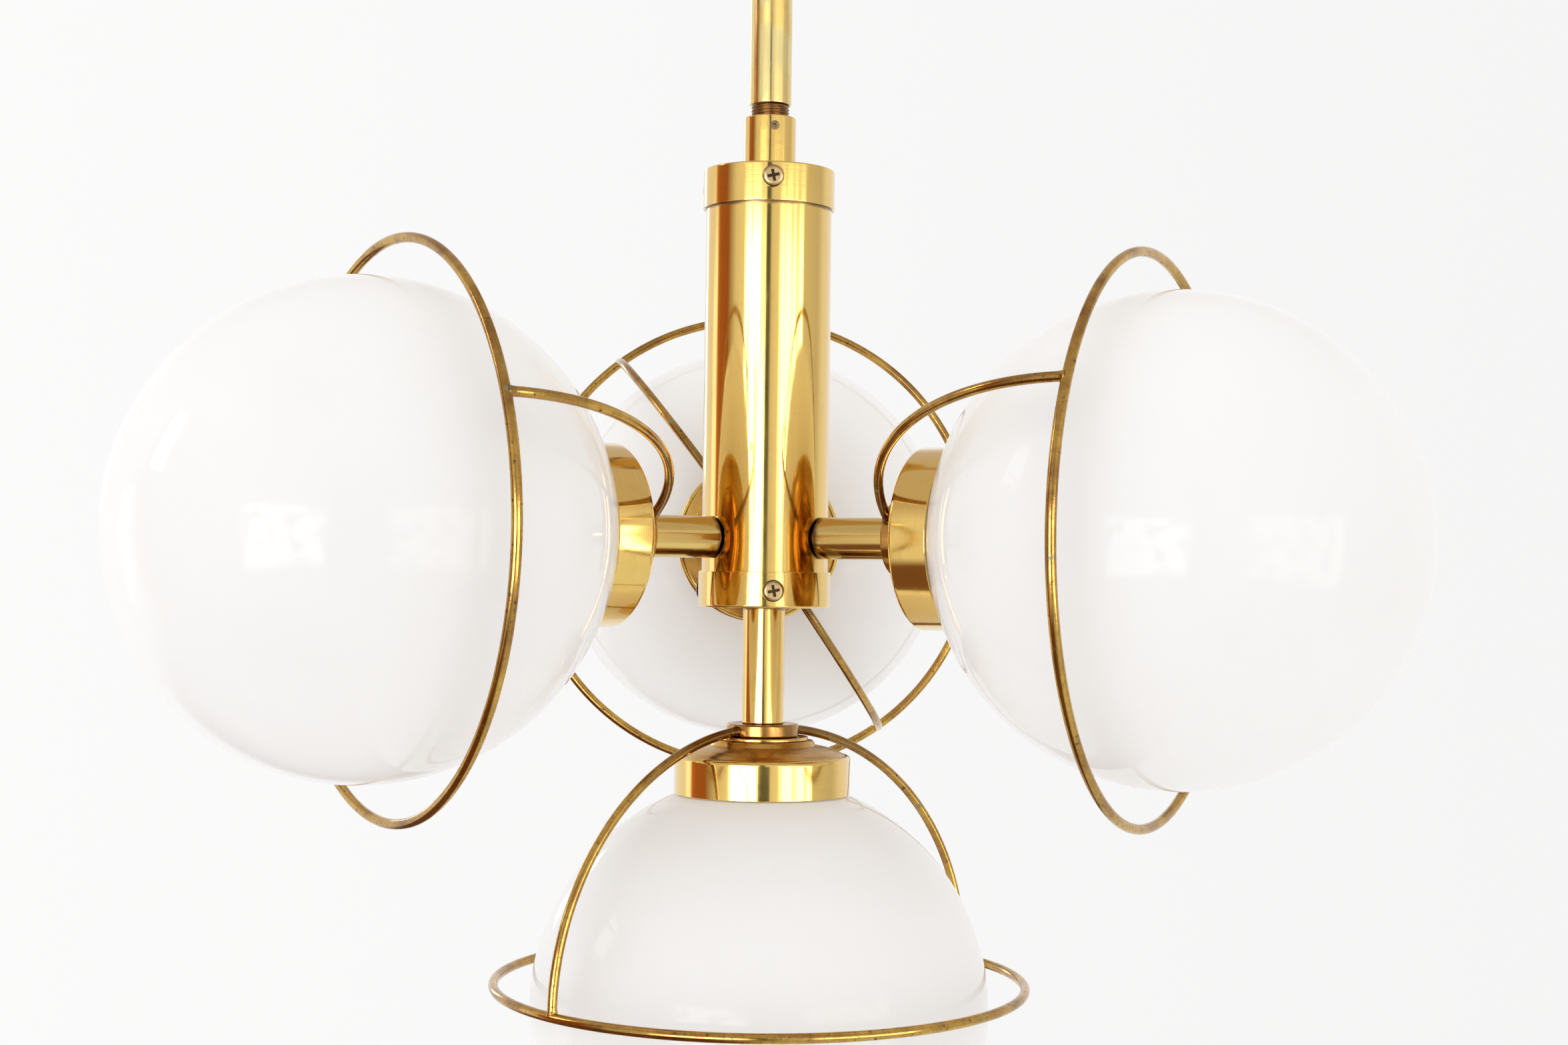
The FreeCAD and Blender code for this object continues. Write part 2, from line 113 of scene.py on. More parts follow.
HUB_NEAR, HUB_FAR = behind("cage_hub_back")
HUB_R = half_height("cage_hub_back")
CUP_NEAR, CUP_FAR = behind("cup_back")
CUP_R = half_height("cup_back")
CUP_WALL = 1.3 * MM
GLASS_WALL = 2.5 * MM
ROD_BORE_R = 5.05 * MM
BODY_WALL = 2.0 * MM
CAP_FLOOR = 2.2 * MM
CAP_SLACK = 0.05 * MM
BOSS_HEIGHT = 6.4 * MM
# The cup's back as (radius, distance in front of its rearmost face)
BOSS = [(22.2 * MM, 0.0), (23.4 * MM, 2.2 * MM), (27.4 * MM, 2.9 * MM), (31.0 * MM, 3.9 * MM),
        (34.0 * MM, 5.1 * MM), (36.4 * MM, BOSS_HEIGHT)]
WASHER_R = 20.0 * MM
BODY_R = radius("body_tube")
SIDE_REACH = GLOBE_Y
SWEEP_START = 5.0 * MM
SWEEP_R = RING_R - SWEEP_START
WIRE_R = 2.0 * MM


def lamp_matrix(lamp):
    """The lamp's own frame, from its globe's joint axis and its ring."""
    joint = next(j for j in frame["joints"] if j["name"] == f"globe_{lamp}_out")
    outward = Vector(joint["axis"]).normalized()
    if abs(outward.z) > 0.5:
        across, up = Vector((1, 0, 0)), Vector((0, -1, 0))
    else:
        across, up = Vector((-outward.y, outward.x, 0)), Vector((0, 0, 1))
    centre = middle(f"cage_ring_{lamp}") + outward * RING_BACK
    turn = Matrix((across, up, outward)).transposed()
    return Matrix.Translation(centre) @ turn.to_4x4()


LAMP_FRAMES = {lamp: lamp_matrix(lamp) for lamp in LAMPS}
AXIS = Matrix.Identity(4)


# Mesh builders

def new_object(name, mesh_builder, matrix, material, smooth=True, shift=0.0):
    """A mesh put in place, which keeps the coordinates it was made in as an attribute.

    shift moves those along X, so that pieces made alike don't carry the same marks.
    """
    mesh = bpy.data.meshes.new(name)
    mesh_builder.to_mesh(mesh)
    mesh_builder.free()
    if smooth:
        mesh.shade_smooth()
    made_in = mesh.attributes.new(MADE_IN, "FLOAT_VECTOR", "POINT")
    for vertex, place in zip(mesh.vertices, made_in.data):
        place.vector = vertex.co + Vector((shift, 0, 0))
    mesh.transform(matrix)
    mesh.materials.append(material)
    item = bpy.data.objects.new(name, mesh)
    bpy.context.scene.collection.objects.link(item)
    return item


def eased(points, radii, steps=5, support=0.25 * MM):
    """A closed outline with some corners rounded, and a support point beside each arc."""
    result = []
    for index, point in enumerate(points):
        corner = Vector(point)
        size = radii.get(index, 0)
        if not size:
            result.append(corner)
            continue
        before = (Vector(points[index - 1]) - corner).normalized()
        after = (Vector(points[(index + 1) % len(points)]) - corner).normalized()
        half = before.angle(after) / 2
        reach = size / math.tan(half)
        centre = corner + (before + after).normalized() * size / math.sin(half)
        start = corner + before * reach - centre
        stop = corner + after * reach - centre
        result.append(corner + before * (reach + support))
        for step in range(steps + 1):
            blend = step / steps
            result.append(centre + (start * (1 - blend) + stop * blend).normalized() * size)
        result.append(corner + after * (reach + support))
    return result


def lathe(outline, segments=160, closed=True, ripple=None):
    """A turned form from (radius, height) points. ripple(angle, radius, height) moves a radius."""
    builder = bmesh.new()
    rings = []
    for r, z in outline:
        if r < 1e-7:
            rings.append([builder.verts.new((0, 0, z))])
            continue
        ring = []
        for step in range(segments):
            angle = 2 * math.pi * step / segments
            size = ripple(angle, r, z) if ripple else r
            ring.append(builder.verts.new((size * math.cos(angle), size * math.sin(angle), z)))
        rings.append(ring)
    pairs = list(zip(rings, rings[1:]))
    if closed:
        pairs.append((rings[-1], rings[0]))
    for first, second in pairs:
        for step in range(segments):
            after = (step + 1) % segments
            corners = [first[step % len(first)], first[after % len(first)],
                       second[after % len(second)], second[step % len(second)]]
            unique = list(dict.fromkeys(corners))
            if len(unique) > 2:
                builder.faces.new(unique)
    bmesh.ops.recalc_face_normals(builder, faces=builder.faces)
    return builder


def swept(points, size, sides=20, closed=False, builder=None):
    """A round wire along a list of points; size(index) gives its radius there."""
    builder = builder or bmesh.new()
    count = len(points)
    rings = []
    normal = None
    for index, point in enumerate(points):
        before = points[index - 1] if closed or index else point
        after = points[(index + 1) % count] if closed or index < count - 1 else point
        tangent = (after - before).normalized()
        if normal is None:
            normal = tangent.orthogonal().normalized()
        normal = (normal - tangent * normal.dot(tangent)).normalized()
        side = tangent.cross(normal)
        ring = []
        for step in range(sides):
            angle = 2 * math.pi * step / sides
            offset = normal * math.cos(angle) + side * math.sin(angle)
            ring.append(builder.verts.new(point + offset * size(index)))
        rings.append(ring)
    pairs = list(zip(rings, rings[1:]))
    if closed:
        pairs.append((rings[-1], rings[0]))
    for first, second in pairs:
        for step in range(sides):
            after = (step + 1) % sides
            builder.faces.new([first[step], first[after], second[after], second[step]])
    if not closed:
        builder.faces.new(rings[0][::-1])
        builder.faces.new(rings[-1])
    bmesh.ops.recalc_face_normals(builder, faces=builder.faces)
    return builder


def put(item, body, slot, *nodes):
    """A piece that rides on a body and stands for CAD nodes."""
    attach(item, body)
    if nodes:
        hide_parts(*nodes)
    return item


# Material helpers

def new_material(name, on_cad=False):
    """A material whose patterns follow the made-in coordinates, or a CAD node's own."""
    material = bpy.data.materials.new(name)
    material.use_nodes = True
    tree = material.node_tree
    place = tree.nodes.new("ShaderNodeTexCoord" if on_cad else "ShaderNodeAttribute")
    place.name = "place"
    if not on_cad:
        place.attribute_name = MADE_IN
    return material, tree, tree.nodes["Principled BSDF"]


def node(tree, kind, inputs=None, output=0, **settings):
    """Adds a node and returns one of its outputs; an input may be a value or a socket."""
    item = tree.nodes.new(kind)
    for key, value in settings.items():
        setattr(item, key, value)
    for key, value in (inputs or {}).items():
        if isinstance(value, bpy.types.NodeSocket):
            tree.links.new(value, item.inputs[key])
        else:
            item.inputs[key].default_value = value
    return item.outputs[output]


def place_in(tree):
    place = tree.nodes["place"]
    return place.outputs["Object" if place.type == "TEX_COORD" else "Vector"]


def height_in(tree):
    """The made-in Z, which runs along a lamp's axis on a lamp's pieces."""
    return node(tree, "ShaderNodeSeparateXYZ", {0: place_in(tree)}, output=2)


def stretched(tree, scale):
    """The place on the piece, scaled by a different amount along each axis."""
    values = {0: place_in(tree), 1: scale}
    return node(tree, "ShaderNodeVectorMath", values, operation="MULTIPLY")


def cloud(tree, scale, detail=3.0, roughness=0.55, distortion=0.0):
    """Noise with its own scale along each axis."""
    values = {"Vector": stretched(tree, scale), "Scale": 1.0, "Detail": detail,
              "Roughness": roughness, "Distortion": distortion}
    return node(tree, "ShaderNodeTexNoise", values)


def spots(tree, scale, size, softness):
    """1 inside small round scattered spots, 0 elsewhere."""
    values = {"Vector": stretched(tree, (scale,) * 3), "Scale": 1.0, "Randomness": 1.0}
    distance = node(tree, "ShaderNodeTexVoronoi", values)
    return fit(tree, distance, size, size - softness, 0, 1)


def fit(tree, value, from_low, from_high, to_low, to_high):
    values = {0: value, 1: from_low, 2: from_high, 3: to_low, 4: to_high}
    return node(tree, "ShaderNodeMapRange", values, clamp=True)


def maths(tree, operation, first, second):
    return node(tree, "ShaderNodeMath", {0: first, 1: second}, operation=operation)


def mixed(tree, factor, first, second):
    values = {0: factor, 6: first, 7: second}
    return node(tree, "ShaderNodeMix", values, output=2, data_type="RGBA")


def bump(tree, height, distance, strength=1.0, normal=None):
    values = {"Height": height, "Distance": distance, "Strength": strength}
    if normal:
        values["Normal"] = normal
    return node(tree, "ShaderNodeBump", values)


def connect(tree, shader, **sockets):
    for name, socket in sockets.items():
        tree.links.new(socket, shader.inputs[name.replace("_", " ")])


# Materials

BRASS = (0.81, 0.535, 0.135, 1)
BRASS_TARNISH = (0.54, 0.32, 0.07, 1)
# Dark grime for the scattered pits, and painted shade at the seams
GRIME_AND_SEAM_SHADE = (0.10, 0.05, 0.02, 1)
OLD_LIGHT = (0.70, 0.42, 0.10, 1)
OLD_DARK = (0.46, 0.24, 0.05, 1)
# Patina and painted contact shadow where an arm enters the body, painted shade along its underside
ARM_PATINA_AND_SHADE = (0.10, 0.045, 0.015, 1)
# Painted shade in the screws' recesses and under their heads
RECESS_SHADE = (0.035, 0.022, 0.012, 1)


def polished_brass(name, streaks, tone=BRASS, tarnish=BRASS_TARNISH, aged=0.3, rough=0.055,
                   lacquer=0.8, shaded_seams=(), aged_below=None, on_cad=False):
    """Lacquered brass. streaks is the noise scale along each axis of its polishing lines.

    At each seam height given, painted shade darkens the brass for the contact shadow at the joint.
    Below aged_below the brass is dull and brown.
    """
    material, tree, shader = new_material(name, on_cad)
    shader.inputs["Metallic"].default_value = 1.0
    shader.inputs["Coat Weight"].default_value = lacquer
    shader.inputs["Coat Roughness"].default_value = 0.04
    lines = cloud(tree, streaks, detail=4)
    haze = cloud(tree, (26, 26, 26), detail=6, roughness=0.65, distortion=0.6)
    smears = cloud(tree, (95, 95, 40), detail=4)
    pits = spots(tree, 420, 0.10, 0.05)
    patch = fit(tree, haze, 0.50, 0.74, 0, aged)
    colour = mixed(tree, patch, tone, tarnish)
    colour = mixed(tree, fit(tree, lines, 0.35, 0.75, 0, 0.14), colour, tarnish)
    colour = mixed(tree, maths(tree, "MULTIPLY", pits, 0.5), colour, GRIME_AND_SEAM_SHADE)
    dull = maths(tree, "ADD", fit(tree, smears, 0.4, 0.75, 0, 0.05),
                 fit(tree, lines, 0.4, 0.8, rough, rough + 0.05))
    dull = maths(tree, "ADD", dull, maths(tree, "MULTIPLY", patch, 0.2))
    if shaded_seams or aged_below is not None:
        height = height_in(tree)
        edge = fit(tree, smears, 0.3, 0.7, -0.4 * MM, 0.4 * MM)
        ragged = maths(tree, "ADD", height, edge)
    for seam in shaded_seams:
        # painted shade: the brass darkens at each seam, for the contact shadow where a cap or
        # collar meets it
        gap = maths(tree, "ABSOLUTE", maths(tree, "SUBTRACT", ragged, seam), 0.0)
        dirt = fit(tree, gap, 0.5 * MM, 1.5 * MM, 0.85, 0)
        colour = mixed(tree, dirt, colour, GRIME_AND_SEAM_SHADE)
        dull = maths(tree, "ADD", dull, maths(tree, "MULTIPLY", dirt, 0.3))
    if aged_below is not None:
        old = fit(tree, ragged, aged_below, aged_below - 0.7 * MM, 0, 1)
        stain = mixed(tree, fit(tree, haze, 0.35, 0.65, 0, 1), OLD_LIGHT, OLD_DARK)
        colour = mixed(tree, old, colour, stain)
        dull = maths(tree, "ADD", dull, maths(tree, "MULTIPLY", old, 0.17))
        connect(tree, shader, Coat_Weight=fit(tree, old, 0, 1, lacquer, 0.1))
    fine = bump(tree, lines, 0.005 * MM)
    wave = bump(tree, cloud(tree, (30, 30, 9), detail=1), 0.10 * MM, normal=fine)
    connect(tree, shader, Base_Color=colour, Roughness=dull, Normal=wave)
    return material


def arm_patina_and_shade(material, end, underside):
    """Darkens an arm where it enters the body, partly patina and partly painted contact shadow,
    and paints shade in a line along its underside.

    end is the height of that end in the lamp's frame, underside the line's Y there.
    """
    tree = material.node_tree
    shader = tree.nodes["Principled BSDF"]
    clean = shader.inputs["Base Color"].links[0].from_socket
    split = tree.nodes.new("ShaderNodeSeparateXYZ")
    tree.links.new(place_in(tree), split.inputs[0])
    grain = cloud(tree, (160, 160, 60), detail=4)
    reach = maths(tree, "ADD", maths(tree, "SUBTRACT", split.outputs[2], end),
                  fit(tree, grain, 0.3, 0.7, -1.2 * MM, 1.2 * MM))
    # patina and painted contact shadow: a dark ring where the arm enters the body
    rim = fit(tree, reach, 0.6 * MM, 2.6 * MM, 0.95, 0)
    off = maths(tree, "ABSOLUTE", maths(tree, "SUBTRACT", split.outputs[1], underside), 0.0)
    # painted shade: a dark line along the underside, fading away from the body
    line = fit(tree, off, 0.5 * MM, 1.9 * MM, 1, 0)
    line = maths(tree, "MULTIPLY", line, fit(tree, reach, 5 * MM, 26 * MM, 0.95, 0.55))
    dirt = maths(tree, "MAXIMUM", rim, line)
    connect(tree, shader, Base_Color=mixed(tree, dirt, clean, ARM_PATINA_AND_SHADE))
    return material


def aged_wire(name):
    """Drawn brass wire gone brown, darker towards the hub, with dark and green spots."""
    material, tree, shader = new_material(name)
    brown = cloud(tree, (38, 38, 38), detail=6, roughness=0.7)
    mottle = cloud(tree, (420, 420, 420), detail=5, roughness=0.7)
    green = maths(tree, "MULTIPLY", spots(tree, 150, 0.26, 0.16),
                  fit(tree, cloud(tree, (33, 33, 33), detail=2), 0.60, 0.66, 0, 0.8))
    dark = maths(tree, "MULTIPLY", spots(tree, 330, 0.30, 0.14),
                 fit(tree, mottle, 0.50, 0.60, 0, 1))
    colour = mixed(tree, fit(tree, brown, 0.40, 0.66, 0, 1), (0.58, 0.355, 0.085, 1),
                   (0.31, 0.155, 0.045, 1))
    root = fit(tree, height_in(tree), -RING_BACK - SWEEP_R * 0.8, -RING_BACK - SWEEP_R, 0, 0.75)
    colour = mixed(tree, root, colour, (0.16, 0.08, 0.035, 1))
    colour = mixed(tree, fit(tree, mottle, 0.5, 0.8, 0, 0.5), colour, (0.16, 0.07, 0.03, 1))
    colour = mixed(tree, dark, colour, (0.05, 0.03, 0.02, 1))
    colour = mixed(tree, green, colour, (0.12, 0.22, 0.13, 1))
    metal = fit(tree, maths(tree, "MAXIMUM", green, maths(tree, "MULTIPLY", dark, 0.6)),
                0, 1, 1, 0.1)
    rough = maths(tree, "ADD", fit(tree, mottle, 0.35, 0.75, 0.05, 0.24),
                  maths(tree, "MULTIPLY", green, 0.4))
    relief = bump(tree, maths(tree, "ADD", mottle, green), 0.04 * MM)
    connect(tree, shader, Base_Color=colour, Metallic=metal, Roughness=rough, Normal=relief)
    return material


def opal_glass(name):
    """Blown opal glass: milky under a glossy skin, with a faint uneven flow.

    Its inside glows faintly, in place of the room light that comes through so thin a wall.
    """
    material, tree, shader = new_material(name)
    flow = cloud(tree, (9, 9, 14), detail=2, distortion=0.8)
    film = cloud(tree, (55, 55, 55), detail=5, roughness=0.6)
    colour = mixed(tree, fit(tree, flow, 0.35, 0.7, 0, 1), (0.914, 0.907, 0.900, 1),
                   (0.893, 0.883, 0.874, 1))
    seeds = spots(tree, 130, 0.055, 0.03)
    colour = mixed(tree, maths(tree, "MULTIPLY", seeds, 0.18), colour, (0.72, 0.70, 0.66, 1))
    rough = fit(tree, film, 0.35, 0.75, 0.02, 0.06)
    ripple = bump(tree, flow, 0.30 * MM)
    skin = bump(tree, seeds, 0.02 * MM, normal=ripple)
    shader.inputs["IOR"].default_value = 1.45
    shader.inputs["Specular IOR Level"].default_value = 0.12
    shader.inputs["Subsurface Weight"].default_value = 0.2
    shader.inputs["Subsurface Radius"].default_value = (0.012, 0.010, 0.008)
    shader.inputs["Subsurface Scale"].default_value = 1.0
    shader.inputs["Emission Color"].default_value = (1.0, 0.985, 0.96, 1)
    half = Vector((LAMP_SHIFT, LAMP_SHIFT, LAMP_SHIFT)) / 2
    unshifted = node(tree, "ShaderNodeVectorMath", {0: place_in(tree), 1: half, 2: -half},
                     operation="WRAP")
    out = node(tree, "ShaderNodeVectorMath", {0: unshifted}, output=1, operation="LENGTH")
    inside = GLOBE_R - GLASS_WALL
    glow = fit(tree, out, inside + 0.3 * MM, inside + 1.3 * MM, 0.11, 0)
    connect(tree, shader, Base_Color=colour, Roughness=rough, Normal=skin,
            Emission_Strength=glow)
    return material


def frosted_bulb(name):
    material, tree, shader = new_material(name)
    frost = cloud(tree, (900, 900, 900), detail=3)
    colour = mixed(tree, cloud(tree, (40, 40, 40)), (0.93, 0.93, 0.92, 1), (0.88, 0.87, 0.85, 1))
    shader.inputs["Subsurface Weight"].default_value = 0.3
    shader.inputs["Subsurface Radius"].default_value = (0.006, 0.006, 0.005)
    shader.inputs["Subsurface Scale"].default_value = 1.0
    connect(tree, shader, Base_Color=colour, Roughness=fit(tree, frost, 0.3, 0.7, 0.28, 0.42),
            Normal=bump(tree, frost, 0.01 * MM))
    return material


def plain_metal(name, tone, dirt, rough, grain, on_cad=False):
    """Plated or turned metal with fine lines and a little dirt."""
    material, tree, shader = new_material(name, on_cad)
    lines = cloud(tree, grain, detail=4)
    stain = cloud(tree, (120, 120, 120), detail=5, roughness=0.65)
    colour = mixed(tree, fit(tree, stain, 0.45, 0.75, 0, 0.7), tone, dirt)
    shader.inputs["Metallic"].default_value = 1.0
    spread = maths(tree, "ADD", fit(tree, lines, 0.3, 0.7, rough, rough + 0.14),
                   fit(tree, stain, 0.45, 0.8, 0, 0.15))
    connect(tree, shader, Base_Color=colour, Roughness=spread,
            Normal=bump(tree, lines, 0.012 * MM))
    return material


def pan_screw_metal(name, node_name):
    """Dull brass with painted shade in the recess and under the head, which face the axis."""
    material = plain_metal(name, (0.56, 0.40, 0.20, 1), (0.24, 0.15, 0.08, 1), 0.22,
                           (300, 300, 300), on_cad=True)
    tree = material.node_tree
    shader = tree.nodes["Principled BSDF"]
    clean = shader.inputs["Base Color"].links[0].from_socket
    crown = -low(node_name).y
    flat = stretched(tree, (1, 1, 0))
    out = node(tree, "ShaderNodeVectorMath", {0: flat}, output=1, operation="LENGTH")
    # painted shade: darker nearer the axis than the crown, in the recess and under the head
    dirt = fit(tree, out, crown - 0.3 * MM, crown - 0.9 * MM, 0, 0.95)
    connect(tree, shader, Base_Color=mixed(tree, dirt, clean, RECESS_SHADE))
    return material


def moulded(name, tone, shade, rough, on_cad=False):
    """Moulded plastic or rubber with a fine skin."""
    material, tree, shader = new_material(name, on_cad)
    skin = cloud(tree, (1400, 1400, 1400), detail=2)
    stain = cloud(tree, (70, 70, 70), detail=4)
    colour = mixed(tree, fit(tree, stain, 0.4, 0.75, 0, 1), tone, shade)
    spread = fit(tree, skin, 0.3, 0.7, rough, rough + 0.1)
    connect(tree, shader, Base_Color=colour, Roughness=spread,
            Normal=bump(tree, skin, 0.01 * MM))
    return material


DRAWN = (700, 700, 9)
TURNED = (60, 60, 2600)
BROWN = (0.46, 0.24, 0.06, 1)
DARK_BROWN = (0.15, 0.07, 0.03, 1)
# Painted shade darkens the tube under the top cap, the drop tube under the bottom cap and the CAD
# brass above the top cap
tube_brass = polished_brass("tube_brass", DRAWN, shaded_seams=(low("body_top_cap").z,))
arm_brass = arm_patina_and_shade(polished_brass("arm_brass", DRAWN, tone=(0.74, 0.52, 0.17, 1),
                                       aged=0.3, rough=0.10, lacquer=0.25),
                        BODY_R - SIDE_REACH, -0.74 * half_height("arm_tube_back"))
drop_brass = polished_brass("drop_brass", DRAWN, aged=0.3, rough=0.07,
                            shaded_seams=(low("body_bottom_cap").z,))
rod_brass = polished_brass("rod_brass", (110, 110, 7), tone=(0.76, 0.62, 0.27, 1),
                           tarnish=(0.74, 0.40, 0.06, 1), aged=0.9, rough=0.12, lacquer=0.4)
turned_brass = polished_brass("turned_brass", TURNED)
cad_brass = polished_brass("cad_brass", TURNED, shaded_seams=(high("body_top_cap").z,), on_cad=True)
cup_brass = polished_brass("cup_brass", TURNED, rough=0.06, aged_below=-CUP_FAR + 6.9 * MM)
hub_brass = polished_brass("hub_brass", TURNED, tone=BROWN, tarnish=DARK_BROWN, aged=0.9,
                           rough=0.14, lacquer=0.15)
washer_brass = polished_brass("washer_brass", TURNED, tone=(0.72, 0.46, 0.12, 1), aged=0.6,
                              rough=0.10, lacquer=0.4)
wire_brass = aged_wire("wire_brass")
globe_glass = opal_glass("globe_glass")
bulb_frost = frosted_bulb("bulb_frost")
thread_metal = plain_metal("thread_metal", (0.30, 0.17, 0.07, 1), (0.06, 0.03, 0.02, 1), 0.20,
                           TURNED)
top_screw_metal = pan_screw_metal("top_screw_metal", "top_cap_screws")
bottom_screw_metal = pan_screw_metal("bottom_screw_metal", "bottom_cap_screws")
zinc = plain_metal("zinc", (0.62, 0.63, 0.64, 1), (0.42, 0.41, 0.38, 1), 0.28, (500, 500, 500),
                   on_cad=True)
steel = plain_metal("steel", (0.26, 0.18, 0.10, 1), (0.12, 0.08, 0.05, 1), 0.3, (500, 500, 500),
                    on_cad=True)
cap_metal = plain_metal("cap_metal", (0.78, 0.78, 0.77, 1), (0.5, 0.5, 0.5, 1), 0.2, TURNED)
holder_plastic = moulded("holder_plastic", (0.86, 0.85, 0.80, 1), (0.74, 0.72, 0.66, 1), 0.38)
connector_plastic = moulded("connector_plastic", (0.80, 0.80, 0.77, 1), (0.7, 0.7, 0.66, 1), 0.4,
                            on_cad=True)
lead_rubber = moulded("lead_rubber", (0.82, 0.80, 0.74, 1), (0.68, 0.66, 0.6, 1), 0.45,
                      on_cad=True)


# Suspension and body, all turned about the chandelier's axis

def pipe(outer_r, inner_r, bottom, top, rounding):
    """The outline of a straight tube, with its two outer rims rounded."""
    corners = [(inner_r, bottom), (outer_r, bottom), (outer_r, top), (inner_r, top)]
    return eased(corners, {1: rounding, 2: rounding})


def axis_pipe(name, bore, rounding, material, body):
    outline = pipe(radius(name), bore, low(name).z, high(name).z, rounding)
    item = new_object(f"{name}_surface", lathe(outline), AXIS, material)
    return put(item, body, "polished_brass", name)


axis_pipe("suspension_rod", ROD_BORE_R, 0.4 * MM, rod_brass, "suspension")

NIPPLE_R = radius("hanger_nipple")
axis_pipe("body_tube", BODY_R - BODY_WALL, 0.3 * MM, tube_brass, "fixture")
axis_pipe("drop_tube", NIPPLE_R, 0.4 * MM, drop_brass, "fixture")


def threaded_neck():
    """The dark male thread that shows between the rod and the collar, as a real helix."""
    r = radius("threaded_neck")
    pitch, depth = 1.5 * MM, 0.75 * MM
    bottom = low("threaded_neck").z
    top = low("suspension_rod").z - 0.05 * MM

    def helix(angle, size, height):
        if size < r * 0.9:
            return size
        phase = (height / pitch - angle / (2 * math.pi)) % 1
        return r - depth * abs(2 * phase - 1)

    steps = int((top - bottom) / (pitch / 10))
    wall = [(r, bottom + (top - bottom) * step / steps) for step in range(steps + 1)]
    outline = [(NIPPLE_R * 0.7, bottom)] + wall + [(NIPPLE_R * 0.7, top)]
    builder = lathe(outline, segments=96, ripple=helix)
    item = new_object("threaded_neck_surface", builder, AXIS, thread_metal)
    put(item, "suspension", "dark_thread", "threaded_neck")


threaded_neck()


def body_cap(name, open_end, closed_end, rounding):
    """A turned cap with a skirt round the end of the body tube."""
    r = radius(name)
    fit_r = BODY_R + CAP_SLACK
    inner_end = closed_end + (CAP_FLOOR if open_end > closed_end else -CAP_FLOOR)
    corners = [(NIPPLE_R, closed_end), (r, closed_end), (r, open_end), (fit_r, open_end),
               (fit_r, inner_end), (NIPPLE_R, inner_end)]
    outline = eased(corners, {1: rounding, 2: 0.25 * MM})
    item = new_object(f"{name}_surface", lathe(outline, segments=192), AXIS, turned_brass)
    put(item, "fixture", "polished_brass", name)


body_cap("body_top_cap", low("body_top_cap").z, high("body_top_cap").z, 0.6 * MM)
body_cap("body_bottom_cap", high("body_bottom_cap").z, low("body_bottom_cap").z, 1.0 * MM)


# Lamps, each built in its own frame


def lamp_piece(name, builder, lamp, material, slot, body="fixture", nodes=None):
    item = new_object(f"{name}_{lamp}_surface", builder, LAMP_FRAMES[lamp], material,
                      shift=LAMPS.index(lamp) * LAMP_SHIFT)
    return put(item, body, slot, *(nodes or [f"{name}_{lamp}"]))


def arm(lamp):
    start = behind("arm_tube_back")[1]
    outline = pipe(half_height("arm_tube_back"), NIPPLE_R, -start, -HUB_FAR, 0.35 * MM)
    lamp_piece("arm_tube", lathe(outline), lamp, arm_brass, "polished_brass")


def hub(lamp):
    outline = pipe(HUB_R, NIPPLE_R, -HUB_FAR, -HUB_NEAR, 0.8 * MM)
    lamp_piece("cage_hub", lathe(outline), lamp, hub_brass, "aged_brass")


def washer(lamp):
    outline = pipe(WASHER_R, NIPPLE_R, -HUB_NEAR, -CUP_FAR, 0.5 * MM)
    lamp_piece("cage_washer", lathe(outline), lamp, washer_brass, "aged_brass",
               nodes=["cage_washers"])


def cup(lamp):
    outside = [(r, depth - CUP_FAR) for r, depth in BOSS]
    inside = [(r - 0.6 * MM, depth - CUP_FAR + CUP_WALL) for r, depth in reversed(BOSS)]
    shoulder = BOSS_HEIGHT - CUP_FAR
    corners = [(NIPPLE_R, -CUP_FAR), *outside, (CUP_R, shoulder), (CUP_R, -CUP_NEAR),
               (CUP_R - CUP_WALL, -CUP_NEAR), (CUP_R - CUP_WALL, shoulder + CUP_WALL),
               *inside, (NIPPLE_R, -CUP_FAR + CUP_WALL)]
    roundings = {1: 0.9 * MM, 2: 0.4 * MM, 3: 3 * MM, 4: 3 * MM, 5: 3 * MM, 6: 1.5 * MM,
                 7: 2.0 * MM, 8: 0.4 * MM, 10: 0.7 * MM}
    lamp_piece("cup", lathe(eased(corners, roundings, steps=8), segments=192), lamp, cup_brass,
               "cup_brass")


def cage(lamp):
    """The ring, its two wires and the brazed beads where they meet."""
    steps = 320
    ring = [Vector((math.cos(a), math.sin(a), 0)) * RING_R - Vector((0, 0, RING_BACK))
            for a in (2 * math.pi * step / steps for step in range(steps))]
    builder = swept(ring, lambda index: RING_WIRE_R, sides=24, closed=True)
    lamp_piece("cage_ring", builder, lamp, wire_brass, "aged_brass")
    wires, beads = bmesh.new(), bmesh.new()
    steps = 120
    for turn in WIRE_ANGLES[lamp]:
        out = Vector((math.cos(math.radians(turn)), math.sin(math.radians(turn)), 0))
        path = []
        for step in range(steps + 1):
            bend = math.pi / 2 * step / steps
            size = SWEEP_START + SWEEP_R * math.sin(bend)
            depth = RING_BACK + SWEEP_R * math.cos(bend)
            if size > HUB_R - 1 * MM:
                path.append(out * size - Vector((0, 0, depth)))
        swept(path, lambda index: WIRE_R, builder=wires)
        for end, inward in ((path[-1], path[-4]), (path[0], path[3])):
            braze(beads, end, inward, LAMPS.index(lamp) + turn)
    lamp_piece("cage_wires", wires, lamp, wire_brass, "aged_brass")
    item = new_object(f"cage_braze_{lamp}", beads, LAMP_FRAMES[lamp], wire_brass,
                      shift=LAMPS.index(lamp) * LAMP_SHIFT)
    put(item, "fixture", "aged_brass")


def braze(builder, end, inward, seed):
    """An uneven bead of braze round a wire's end, fading along the wire."""
    along = (inward - end).normalized()
    length = 4.6 * MM
    steps = 10
    points = [end + along * length * (step / steps) for step in range(1, steps + 1)]

    def size(index):
        fade = 1 - (index + 1) / steps
        wobble = noise.noise(Vector((index * 0.45, seed * 0.37, 1.7)))
        return WIRE_R * (1.0 + 0.38 * fade * fade + 0.07 * fade * wobble)

    swept(points, size, builder=builder)


